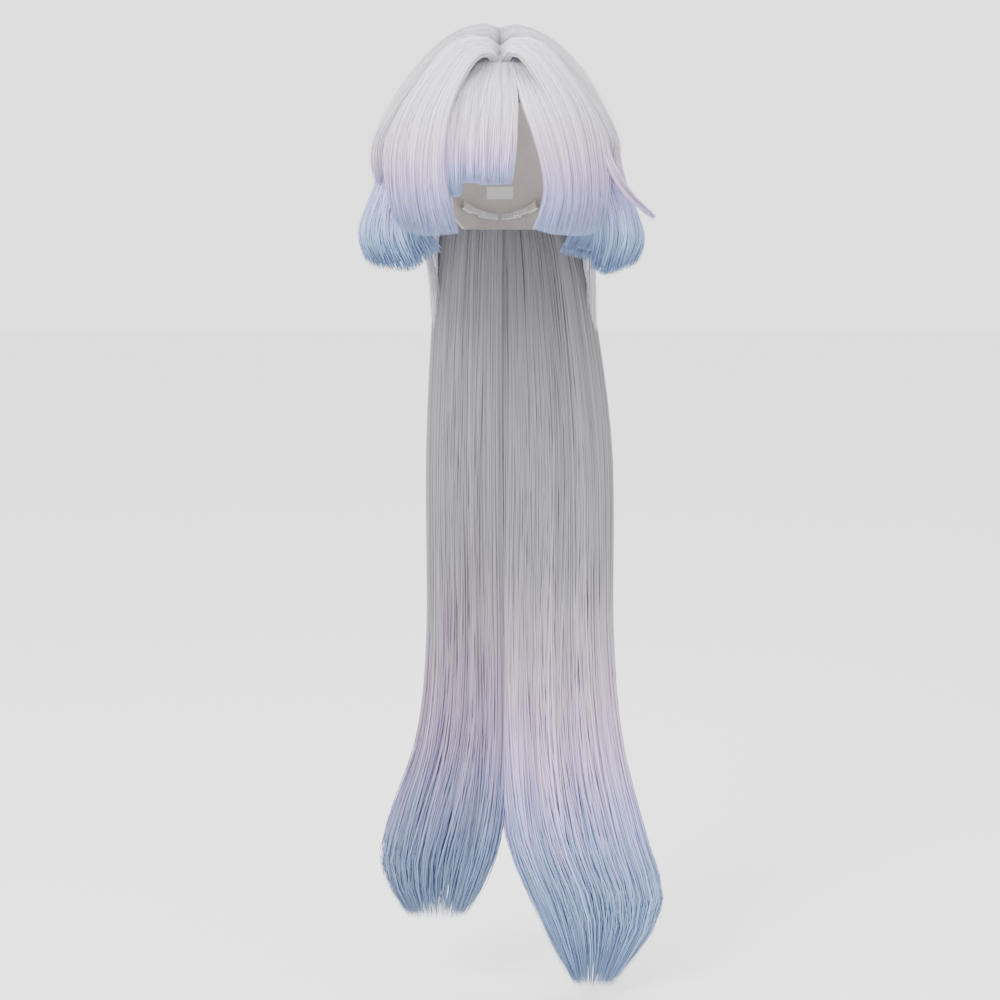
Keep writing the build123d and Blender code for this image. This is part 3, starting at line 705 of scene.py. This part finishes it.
def side_flare(side, rails, seed):
    """Bob-length hair with flared ends on one side."""
    drape = Drape(rails)
    pieces = [under_sheet(f"flare_{side}_under", drape, FLARE_STOPS, HAIR_SHADE, seed, sink=9,
                          across=200, shorter=0.08)]
    for k in range(2):
        pieces.append(strands(
            f"flare_{side}_locks_{k + 1}", drape, FLARE_STOPS, HAIR, 1500, seed + k + 1,
            points=16, width=1.8, depth=9 - 4 * k, clumps=46, gather=0.75, shorter=0.15,
            taper=0.22, fray=1.8,
        ))
    on_joint(pieces, f"side_{side}", SIDE_BEND, "hair_side",
             f"side_under_{side}", f"side_flare_{side}")


def flyaways(name, rails, stops, seed, count):
    """Single fine hairs that stand off the surface."""
    drape = Drape(rails)
    piece = strands(name, drape, stops, HAIR, count, seed, points=16, width=0.5, depth=1.0, lift=1.5,
                    clumps=200, gather=0.0, wander=0.09, shorter=0.5, taper=0.8, fray=4.0)
    bend(piece)


def flick_lock():
    """The one lock on the right whose tip turns outwards."""
    drape = Drape(FLICK)
    stops = [(30, 0.05), (0, 0.25), (-40, 0.36), (-76, 0.45)]
    piece = strands("flick_right_locks", drape, stops, HAIR, 420, 900, points=18, width=1.2, depth=3,
                    clumps=3, gather=0.9, shorter=0.25, taper=0.6)
    on_joint([piece], "side_right", SIDE_BEND, "hair_side", "flick_lock_right")


crown_side("left", CROWN_LEFT, 100)
crown_side("right", CROWN_RIGHT, 140)
back_half("left", BACK_LEFT, 200)
back_half("right", BACK_RIGHT, 240)
long_mass("left", LONG_LEFT, 300)
long_mass("right", LONG_RIGHT, 340)
fan("fringe", "fringe", FRINGE, FRINGE_STOPS, 400, 1300,
    ("fringe_root", "fringe_main", "fringe_step"), shorter=0.05, taper=0.14, clumps=26, gather=0.3)
fan("bang_left", "bang_left", BANG_LEFT, BANG_STOPS, 440, 1500,
    ("side_bang_left", "front_arch_left"), shorter=0.13, taper=0.3, clumps=26, gather=0.4)
fan("bang_right", "bang_right", BANG_RIGHT, BANG_STOPS, 480, 1500,
    ("side_bang_right", "front_arch_right"), shorter=0.13, taper=0.3, clumps=26, gather=0.4)
fan("bang_right_inner", "bang_right", BANG_RIGHT_INNER, BANG_STOPS, 520, 700,
    ("side_bang_right",), shorter=0.13, taper=0.3, clumps=12, gather=0.4)
side_flare("left", FLARE_LEFT, 540)
side_flare("right", FLARE_RIGHT, 580)
flick_lock()
flyaways("crown_left_flyaways", CROWN_LEFT, CROWN_STOPS, 700, 160)
flyaways("crown_right_flyaways", CROWN_RIGHT, CROWN_STOPS, 710, 160)
flyaways("fringe_flyaways", FRINGE, FRINGE_STOPS, 720, 90)
flyaways("flare_left_flyaways", FLARE_LEFT, FLARE_STOPS, 730, 120)
flyaways("flare_right_flyaways", FLARE_RIGHT, FLARE_STOPS, 740, 120)


# ---- Floor, light and camera -----------------------------------------------------------

FLOOR_HALF_SIZE = 20.0
FLOOR_GAP = 0.02
CAMERA_PLACE = (0, -2.071, -0.113)
CAMERA_TILT = 7.35
CAMERA_LENS = 68.4


def plain_floor():
    """A pale floor a little below the longest tips."""
    size = FLOOR_HALF_SIZE
    z = cad_low.z - FLOOR_GAP
    mesh = bpy.data.meshes.new("floor")
    corners = [(-size, -size, z), (size, -size, z), (size, size, z), (-size, size, z)]
    mesh.from_pydata(corners, [], [(0, 1, 2, 3)])
    material, _, _, shader = new_material("floor")
    shader.inputs["Base Color"].default_value = (0.95, 0.95, 0.95, 1)
    shader.inputs["Roughness"].default_value = 0.9
    mesh.materials.append(material)
    floor = bpy.data.objects.new("floor", mesh)
    bpy.context.scene.collection.objects.link(floor)


def soft_light(name, place, aim, size, watts):
    data = bpy.data.lights.new(name, "AREA")
    data.size = size
    data.energy = watts
    lamp = bpy.data.objects.new(name, data)
    lamp.location = place
    direction = Vector(aim) - Vector(place)
    lamp.rotation_euler = direction.to_track_quat("-Z", "Y").to_euler()
    bpy.context.scene.collection.objects.link(lamp)


def studio():
    world = bpy.data.worlds.new("studio")
    bpy.context.scene.world = world
    world.use_nodes = True
    sky = world.node_tree.nodes["Background"]
    sky.inputs[0].default_value = (1, 1, 1, 1)
    sky.inputs[1].default_value = 2.4
    soft_light("key", (-1.6, -2.2, 1.5), (0, 0, -0.2), 1.4, 120)
    soft_light("fill", (1.8, -1.8, 0.4), (0, 0, -0.4), 1.6, 8)
    soft_light("top", (0, 0.4, 2.0), (0, 0, 0), 1.2, 25)


def camera():
    """Level with the neck, two metres in front, tilted down a little."""
    data = bpy.data.cameras.new("camera")
    data.sensor_width = 36
    data.lens = CAMERA_LENS
    cam = bpy.data.objects.new("camera", data)
    cam.location = CAMERA_PLACE
    cam.rotation_euler = (math.radians(90 - CAMERA_TILT), 0, 0)
    bpy.context.scene.collection.objects.link(cam)
    bpy.context.scene.camera = cam


plain_floor()
studio()
camera()
